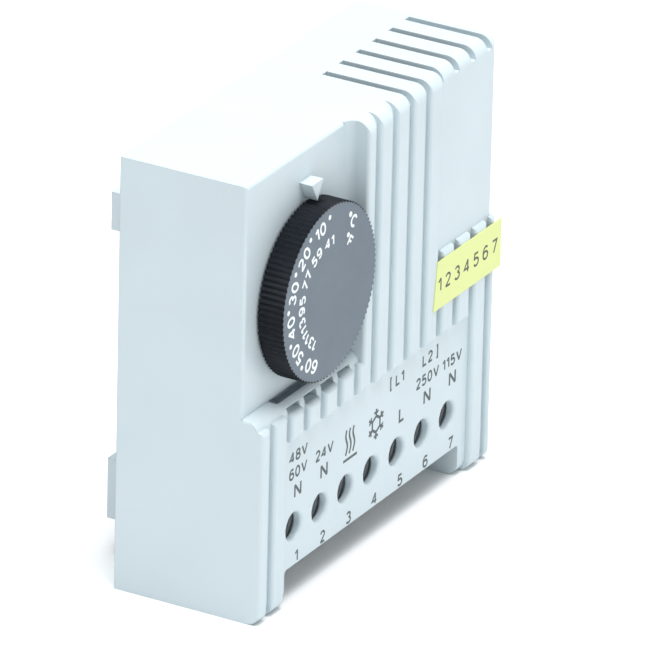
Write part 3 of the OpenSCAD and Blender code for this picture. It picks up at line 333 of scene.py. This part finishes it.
def banded_material(name, body_colour, bands, low, high):
    """A resistor's coat with colour bands at shares of its height between low and high."""
    material = surface(name, body_colour, 0.4)
    tree, shader = parts_of(material)
    where = tree.nodes.new("ShaderNodeTexCoord")
    split = tree.nodes.new("ShaderNodeSeparateXYZ")
    height = tree.nodes.new("ShaderNodeMapRange")
    height.inputs["From Min"].default_value = low
    height.inputs["From Max"].default_value = high
    stops = [(0, body_colour)]
    for place, colour in bands:
        stops += [(place, colour), (place + BAND_SHARE, body_colour)]
    tree.links.new(where.outputs["Object"], split.inputs["Vector"])
    tree.links.new(split.outputs["Z"], height.inputs["Value"])
    colours = ramp(tree, height.outputs["Result"], stops)
    colours.node.color_ramp.interpolation = "CONSTANT"
    tree.links.new(colours, shader.inputs["Base Color"])
    grain(material, scale=2600, depth=0.006 * MM)
    return material


def printed(name, colour):
    """Pad-printed ink, a little uneven."""
    material = surface(name, colour, 0.5)
    mottle(material, scale=900, share=0.12)
    grain(material, scale=4000, depth=0.002 * MM)
    return material


CASE_COLOUR = (0.57, 0.66, 0.70)
COVER_COLOUR = (0.55, 0.635, 0.67)
LATCH_COLOUR = (0.51, 0.59, 0.625)
MARK_INK_COLOUR = (0.066, 0.086, 0.095)
DIAL_INK_COLOUR = (0.86, 0.90, 0.92)
LABEL_INK_COLOUR = (0.06, 0.063, 0.045)
# The dial's painted glare, a grey on its black face, ends this far inside the tips of the knurl
GLARE_MARGIN = 0.15 * MM
resistor_low, resistor_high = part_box("feedback_resistors")
# One finish for each material slot of the record: name, colour, roughness and what else differs
FINISHES = {
    "case_grey": moulded("case_grey", CASE_COLOUR),
    "cover_grey": moulded("cover_grey", COVER_COLOUR),
    "latch_grey": moulded("latch_grey", LATCH_COLOUR, 0.4),
    "spring_steel": drawn_metal("spring_steel", (0.55, 0.56, 0.58), 0.3),
    "dial_black": dial_material((dial_high.z - dial_low.z) / 2 - GLARE_MARGIN),
    "bright_steel": drawn_metal("bright_steel", (0.62, 0.64, 0.66), 0.35, stretch=(1, 0.15, 1)),
    "natural_plastic": moulded("natural_plastic", (0.79, 0.76, 0.66), 0.4),
    "contact_bronze": drawn_metal("contact_bronze", (0.62, 0.33, 0.16), 0.32, stretch=(1, 1, 0.1)),
    "contact_silver": drawn_metal("contact_silver", (0.86, 0.85, 0.82), 0.2),
    "dark_steel": drawn_metal("dark_steel", (0.18, 0.19, 0.20), 0.5),
    "brass": drawn_metal("brass", (0.72, 0.50, 0.18), 0.3, stretch=(1, 1, 0.12)),
    "bimetal": drawn_metal("bimetal", (0.48, 0.44, 0.36), 0.38, stretch=(1, 1, 0.08)),
    "white_ceramic": moulded("white_ceramic", (0.86, 0.84, 0.79), 0.18),
    "board_green": board_material(),
    "resistor_coat": banded_material(
        "resistor_coat", RESISTOR_COAT, RESISTOR_BANDS, resistor_low.z, resistor_high.z),
    "capacitor_red": moulded("capacitor_red", (0.53, 0.06, 0.03), 0.22),
    "block_grey": moulded("block_grey", (0.40, 0.42, 0.43), 0.45),
    "plated_steel": drawn_metal("plated_steel", (0.58, 0.60, 0.62), 0.36, stretch=(1, 0.2, 1)),
    "label_yellow": moulded("label_yellow", (0.70, 0.77, 0.31), 0.5, round_edge=0.05 * MM),
}
SLOT_OF = {row["node"]: row["material_slot"] for row in frame["record"]["subparts"]}


def finish_nodes():
    """Gives every node of the solids the finish of its slot."""
    for name, node in frame["nodes"].items():
        node.data.materials.clear()
        node.data.materials.append(FINISHES[SLOT_OF[name]])


# Print: flat strokes of ink with half of the ink's thickness, in millimetres, sunk in the face.
# Each stroke of a glyph lies a layer further out, so that two that cross don't share a plane
INK = 0.012
LAYER = Vector((0, -0.001, 0)) * MM
SAME_POINT = 0.0001 * MM
# The corner of a bent stroke stands out by no more than the half width divided by this
CORNER_LIMIT = 0.5


def arc(x, z, rx, rz, start, stop, steps=14):
    """Points of an arc of an ellipse between two angles in degrees."""
    turns = [math.radians(start + (stop - start) * i / steps) for i in range(steps + 1)]
    return [Vector((x + rx * math.cos(t), z + rz * math.sin(t))) for t in turns]


def line(*points):
    """Points of a bent line."""
    return [Vector(point) for point in points]


def turned(glyph):
    """The glyph upside down."""
    wide, strokes = glyph
    return wide, [[Vector((wide - x, 1 - z)) for x, z in stroke] for stroke in strokes]


# Glyphs: width, and the middle lines of the strokes, for a height of 1
SIX = (0.58, [
    arc(0.34, 0.5, 0.34, 0.5, 52, 180) + line((0, 0.31)),
    arc(0.29, 0.31, 0.29, 0.31, 180, 540, 22),
])
GLYPHS = {
    "0": (0.58, [arc(0.29, 0.5, 0.29, 0.5, 90, 450, 26)]),
    "1": (0.3, [line((0.3, 1), (0.3, 0)), line((0, 0.74), (0.3, 1))]),
    "2": (0.56, [arc(0.28, 0.72, 0.27, 0.28, 165, -35) + line((0, 0)), line((0, 0), (0.56, 0))]),
    "3": (0.56, [arc(0.27, 0.76, 0.25, 0.24, 155, -85), arc(0.27, 0.27, 0.29, 0.27, 85, -155)]),
    "4": (0.62, [line((0.46, 0), (0.46, 1)), line((0.46, 1), (0, 0.28), (0.62, 0.28))]),
    "5": (0.58, [line((0.53, 1), (0.11, 1), (0.04, 0.5)), arc(0.28, 0.31, 0.3, 0.31, 140, -150)]),
    "6": SIX,
    "7": (0.56, [line((0, 1), (0.56, 1), (0.18, 0))]),
    "8": (0.58, [
        arc(0.29, 0.76, 0.25, 0.24, -90, 270, 22),
        arc(0.29, 0.26, 0.29, 0.26, 90, 450, 22),
    ]),
    "9": turned(SIX),
    "C": (0.62, [arc(0.36, 0.5, 0.36, 0.5, 45, 315, 20)]),
    "F": (0.54, [line((0.54, 1), (0, 1), (0, 0)), line((0, 0.52), (0.46, 0.52))]),
    "L": (0.5, [line((0, 1), (0, 0), (0.5, 0))]),
    "N": (0.7, [line((0, 0), (0, 1)), line((0, 1), (0.7, 0)), line((0.7, 0), (0.7, 1))]),
    "V": (0.74, [line((0, 1), (0.37, 0)), line((0.37, 0), (0.74, 1))]),
    "°": (0.28, [arc(0.14, 0.86, 0.14, 0.14, 90, 450, 14)]),
    "[": (0.16, [line((0.16, 1.12), (0, 1.12), (0, -0.12), (0.16, -0.12))]),
    "]": (0.16, [line((0, 1.12), (0.16, 1.12), (0.16, -0.12), (0, -0.12))]),
    " ": (0.02, []),
}


def add_text(bm, text, place, height, stroke, turn=0.0, apart=0.15):
    """Adds text with its middle at a place on a face, turned against the clock by degrees.

    Its capitals are height millimetres high. Letters stand apart by a share of that height.
    """
    step = stroke + apart * height
    width = sum(GLYPHS[letter][0] * height for letter in text) + step * (len(text) - 1)
    spin = Matrix.Rotation(math.radians(turn), 2)
    left = -width / 2
    for letter in text:
        wide, strokes = GLYPHS[letter]
        for layer, points in enumerate(strokes):
            drawn = [
                spin @ Vector((left + x * height, (z - 0.5) * (height - stroke)))
                for x, z in points
            ]
            add_stroke(bm, drawn, stroke, place + LAYER * layer)
        left += wide * height + step


def add_plate(bm, mesh):
    """Adds a flat mesh that faces the front as a thin plate of ink, half of it sunk in the face."""
    flat = bmesh.new()
    flat.from_mesh(mesh)
    bmesh.ops.remove_doubles(flat, verts=flat.verts, dist=SAME_POINT)
    made = bmesh.ops.extrude_face_region(flat, geom=flat.faces[:])
    tops = [g for g in made["geom"] if isinstance(g, bmesh.types.BMVert)]
    for v in flat.verts:
        v.co.y += INK / 2 * MM
    for v in tops:
        v.co.y -= INK * MM
    bmesh.ops.recalc_face_normals(flat, faces=flat.faces)
    whole = bpy.data.meshes.new("plate")
    flat.to_mesh(whole)
    flat.free()
    bm.from_mesh(whole)
    bpy.data.meshes.remove(whole)


def add_stroke(bm, points, width, place):
    """Adds a line of ink of one width through points in millimetres, seen from the front.

    A line that ends where it starts is closed to a ring.
    """
    closed = (points[0] - points[-1]).length < width / 100
    points = points[:-1] if closed else points
    last = len(points) - 1
    rows = []
    for i, point in enumerate(points):
        before = points[i - 1] if i or closed else point
        after = points[(i + 1) % len(points)] if i < last or closed else point
        way_in = (point - before if point != before else after - point).normalized()
        way_out = (after - point).normalized() if after != point else way_in
        along = (way_in + way_out).normalized()
        reach = width / 2 / max(CORNER_LIMIT, along.dot(way_in))
        across = Vector((-along.y, along.x)) * reach
        rows.append((point + across, point - across))
    mesh = bpy.data.meshes.new("stroke")
    corners = [(x * MM, 0, z * MM) for row in rows for x, z in row]
    count = len(rows) if closed else last
    faces = [
        (2 * i, 2 * i + 1, (2 * i + 3) % len(corners), (2 * i + 2) % len(corners))
        for i in range(count)
    ]
    mesh.from_pydata(corners, [], faces)
    mesh.transform(Matrix.Translation(place))
    add_plate(bm, mesh)
    bpy.data.meshes.remove(mesh)


# Terminal marks: columns stand a little right of the screws, rows at heights above the feet.
# They lie on the plate between the ribs, which stand out from it by RIB_H
RIB_H = 0.9
MARK_X = 12.6
MARK_PITCH = 7.92
STROKE = 0.46
THIN = 0.38
NUMBER_Z, NUMBER_H = 6.65, 2.1
LETTER_Z, LETTER_H = 17.7, 2.5
VOLT_Z, VOLT_H = 20.8, 1.95
UPPER_Z = 23.6
LINE_Z, LINE_H = 24.1, 2.0
# The two halves of the bracket and the last voltage stand between columns
LINE_1_COLUMN, LINE_2_COLUMN = 3.79, 5.09
LAST_VOLT_COLUMN = 5.97
HEATING_COLUMN, HEATING_Z = 2, 19.5
COOLING_COLUMN, COOLING_Z = 3, 19.15


def mark_place(column, z):
    """The middle of a mark on the plate between the ribs."""
    return at(MARK_X + column * MARK_PITCH, RIB_H, z)


def add_heating_mark(bm):
    """Three rising waves over a line."""
    shift_left = 0.15
    wave_xs = (-1.0, 0.1, 1.2)
    wave_foot, wave_h, wave_swing = -2.05, 4.2, 0.26
    wave_turns, wave_lag = 1.15, 0.9
    base_left, base_right, base_z = -1.9, 2.3, -2.85
    steps = 18
    place = mark_place(HEATING_COLUMN, HEATING_Z) - Vector((shift_left, 0, 0)) * MM
    for x in wave_xs:
        wave = [
            Vector((
                x + wave_swing * math.sin(2 * math.pi * wave_turns * i / steps - wave_lag),
                wave_foot + wave_h * i / steps,
            ))
            for i in range(steps + 1)
        ]
        add_stroke(bm, wave, STROKE, place)
    add_stroke(bm, line((base_left, base_z), (base_right, base_z)), STROKE, place)


def add_cooling_mark(bm):
    """A six-sided ring with six branched arms."""
    arms = 6
    ring_r, arm_r, fork_r, twig = 1.35, 2.55, 1.75, 0.72
    place = mark_place(COOLING_COLUMN, COOLING_Z)
    angles = [math.radians(360 / arms * k) for k in range(arms)]
    way = [Vector((math.sin(angle), math.cos(angle))) for angle in angles]
    add_stroke(bm, [out * ring_r for out in way + way[:1]], STROKE, place)
    for k, out in enumerate(way):
        add_stroke(bm, [out * ring_r, out * arm_r], STROKE, place + LAYER)
        lean_in, lean_out = way[k - 1], way[(k + 1) % arms]
        fork = [out * fork_r + lean_in * twig, out * fork_r, out * fork_r + lean_out * twig]
        add_stroke(bm, fork, THIN, place + LAYER * 2)


def make_terminal_marks():
    """The terminals' numbers below the screws, and what is connected above them."""
    bm = bmesh.new()
    for i in range(TERMINALS):
        add_text(bm, str(i + 1), mark_place(i, NUMBER_Z), NUMBER_H, THIN)
    for column, text, z, height in [
        (0, "N", LETTER_Z, LETTER_H),
        (0, "60V", VOLT_Z, VOLT_H),
        (0, "48V", UPPER_Z, VOLT_H),
        (1, "N", LETTER_Z, LETTER_H),
        (1, "24V", VOLT_Z, VOLT_H),
        (4, "L", LETTER_Z, LETTER_H),
        (LINE_1_COLUMN, "[ L1", LINE_Z, LINE_H),
        (LINE_2_COLUMN, "L2 ]", LINE_Z, LINE_H),
        (5, "N", LETTER_Z, LETTER_H),
        (5, "250V", VOLT_Z, VOLT_H),
        (6, "N", LETTER_Z, LETTER_H),
        (LAST_VOLT_COLUMN, "115V", VOLT_Z, VOLT_H),
    ]:
        stroke = STROKE if height == LETTER_H else THIN
        add_text(bm, text, mark_place(column, z), height, stroke)
    add_heating_mark(bm)
    add_cooling_mark(bm)
    marks = mesh_object("terminal_marks", bm)
    marks.data.materials.append(printed("mark_ink", MARK_INK_COLOUR))
    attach(marks, "case")


# Dial print: each figure's top points outwards. Angles are from the top, against the clock.
# Dots and inner figures, in degrees Fahrenheit, stand at every DOTTED temperature in degrees
# Celsius, and outer figures at every FIGURED one
DOTTED, FIGURED = range(5, 60, 10), range(10, 70, 10)
FIRST_DOT_ANGLE = 1.9
ANGLE_A_DEGREE = 2.76
DOTS_AT, FIGURES_AT, INNER_AT = 12.3, 11.4, 8.2
DOT_R = 0.4
FIGURE_H, FIGURE_STROKE = 2.25, 0.42
INNER_H, INNER_STROKE = 1.85, 0.37
FIGURE_APART = 0.14
CELSIUS_AT, CELSIUS_ANGLE, CELSIUS_H = 11.4, -34, 2.1
FAHRENHEIT_AT, FAHRENHEIT_ANGLE, FAHRENHEIT_H = 8.5, -41, 1.9
UNIT_APART = 0.1


def dial_angle(celsius):
    """Where a temperature stands on the dial."""
    return FIRST_DOT_ANGLE + ANGLE_A_DEGREE * (celsius - DOTTED[0])


def dial_place(radius, angle):
    """A point on the dial's face, at a radius in millimetres."""
    centre = (dial_low + dial_high) / 2
    a = math.radians(angle)
    x = centre.x - radius * MM * math.sin(a)
    z = centre.z + radius * MM * math.cos(a)
    return Vector((x, dial_low.y, z))


def add_dot(bm, place, radius):
    """Adds a round spot of ink."""
    sides = 20
    angles = [2 * math.pi * i / sides for i in range(sides)]
    ring = [(radius * MM * math.cos(a), 0, radius * MM * math.sin(a)) for a in angles]
    mesh = bpy.data.meshes.new("dot")
    mesh.from_pydata(ring, [], [tuple(range(sides))])
    mesh.transform(Matrix.Translation(place))
    add_plate(bm, mesh)
    bpy.data.meshes.remove(mesh)


def make_dial_print():
    """The dial's two temperature scales and their units."""
    bm = bmesh.new()
    for celsius in DOTTED:
        angle = dial_angle(celsius)
        fahrenheit = str(round(celsius * 9 / 5 + 32))
        add_dot(bm, dial_place(DOTS_AT, angle), DOT_R)
        add_text(bm, fahrenheit, dial_place(INNER_AT, angle), INNER_H, INNER_STROKE,
                 angle, FIGURE_APART)
    for celsius in FIGURED:
        angle = dial_angle(celsius)
        add_text(bm, str(celsius), dial_place(FIGURES_AT, angle), FIGURE_H, FIGURE_STROKE,
                 angle, FIGURE_APART)
    add_text(bm, "°C", dial_place(CELSIUS_AT, CELSIUS_ANGLE), CELSIUS_H, FIGURE_STROKE,
             CELSIUS_ANGLE, UNIT_APART)
    add_text(bm, "°F", dial_place(FAHRENHEIT_AT, FAHRENHEIT_ANGLE), FAHRENHEIT_H, INNER_STROKE,
             FAHRENHEIT_ANGLE, UNIT_APART)
    made = mesh_object("dial_print", bm)
    made.data.materials.append(printed("dial_ink", DIAL_INK_COLOUR))
    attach(made, "dial")


# Label print: the terminals' numbers
LABEL_TEXT = " ".join(str(i + 1) for i in range(TERMINALS))
LABEL_H, LABEL_STROKE, LABEL_APART = 2.4, 0.36, 0.16


def make_label_print():
    """One row of text in the middle of the label."""
    bm = bmesh.new()
    middle = (label_low + label_high) / 2
    place = Vector((middle.x, label_low.y, middle.z))
    add_text(bm, LABEL_TEXT, place, LABEL_H, LABEL_STROKE, apart=LABEL_APART)
    made = mesh_object("label_print", bm)
    made.data.materials.append(printed("label_ink", LABEL_INK_COLOUR))
    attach(made, "case")


# Springs: coils of round wire whose ends are cut square to it
def add_coil(bm, foot, length, radius, wire, turns):
    """Adds a closed tube along Z that winds from its foot, in metres."""
    rings_a_turn, sides = 28, 10
    count = int(turns * rings_a_turn)
    rings = []
    for i in range(count + 1):
        share = i / count
        turn = 2 * math.pi * turns * share
        out = Vector((math.cos(turn), math.sin(turn), 0))
        rise = (length - wire) / (2 * math.pi * turns)
        along = Vector((-math.sin(turn) * radius, math.cos(turn) * radius, rise)).normalized()
        up = out.cross(along)
        middle = foot + out * radius + Vector((0, 0, wire / 2 + (length - wire) * share))
        rings.append([
            bm.verts.new(middle + wire / 2 * (
                math.cos(2 * math.pi * s / sides) * out + math.sin(2 * math.pi * s / sides) * up))
            for s in range(sides)
        ])
    for a, b in zip(rings, rings[1:]):
        for s in range(sides):
            face = bm.faces.new((a[s], a[(s + 1) % sides], b[(s + 1) % sides], b[s]))
            face.smooth = True
    bm.faces.new(rings[0])
    bm.faces.new(rings[-1])


def make_spring(name, node, body, feet, turns, wire, top_gap):
    """Springs that stand for a node, at the given feet.

    They end top_gap below the node's top, so that they stay clear of what presses on them.
    """
    low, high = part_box(node)
    outer = (high.y - low.y) / 2
    length = high.z - low.z - top_gap
    bm = bmesh.new()
    for x in feet:
        foot = Vector((x, (low.y + high.y) / 2, low.z))
        add_coil(bm, foot, length, outer - wire / 2, wire, turns)
    made = mesh_object(name, bm)
    made.data.materials.append(FINISHES["spring_steel"])
    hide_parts(node)
    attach(made, body)
    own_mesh(made)


def make_springs():
    """The two springs of the rail latch, at the ends of their node, and the range spring."""
    low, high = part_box("latch_springs")
    outer = (high.y - low.y) / 2
    make_spring("latch_spring_wires", "latch_springs", "case",
                feet=(low.x + outer, high.x - outer),
                turns=5, wire=0.3 * MM, top_gap=0.15 * MM)
    low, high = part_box("range_spring")
    make_spring("range_spring_wire", "range_spring", "arm",
                feet=((low.x + high.x) / 2,),
                turns=16, wire=0.4 * MM, top_gap=0.3 * MM)


# Stage and light: a pale floor, a pale sky, a large soft light overhead and a weak one in front
FLOOR_HALF = 3
FLOOR_COLOUR = (0.90, 0.91, 0.915)
SKY_COLOUR, SKY_STRENGTH = (0.97, 0.99, 1), 0.55
# Name, place, side and power. The lights look at the frame's origin
LIGHTS = (
    ("light_top", (-0.12, -0.14, 1.28), 0.80, 22.0),
    ("light_front", (0.20, -1.20, 0.35), 0.90, 1.5),
)


def make_stage():
    """A square floor at the height of the feet."""
    bm = bmesh.new()
    corners = [
        bm.verts.new((x * FLOOR_HALF, y * FLOOR_HALF, floor_z))
        for x, y in ((-1, -1), (1, -1), (1, 1), (-1, 1))
    ]
    bm.faces.new(corners)
    floor = mesh_object("floor", bm)
    material = surface("floor_white", FLOOR_COLOUR, 0.6)
    mottle(material, scale=3, share=0.01)
    floor.data.materials.append(material)


def make_light():
    """The sky and the lights, which the camera doesn't see."""
    world = bpy.data.worlds.new("studio")
    world.use_nodes = True
    background = world.node_tree.nodes["Background"]
    background.inputs["Color"].default_value = (*SKY_COLOUR, 1)
    background.inputs["Strength"].default_value = SKY_STRENGTH
    bpy.context.scene.world = world
    for name, place, side, power in LIGHTS:
        data = bpy.data.lights.new(name, "AREA")
        data.size = side
        data.energy = power
        light = bpy.data.objects.new(name, data)
        light.location = place
        light.rotation_mode = "QUATERNION"
        light.rotation_quaternion = (-Vector(place)).to_track_quat("-Z", "Y")
        light.visible_camera = False
        bpy.context.scene.collection.objects.link(light)


bpy.context.scene.view_settings.view_transform = "Standard"
make_camera()
finish_nodes()
make_terminal_marks()
make_dial_print()
make_label_print()
make_springs()
make_stage()
make_light()
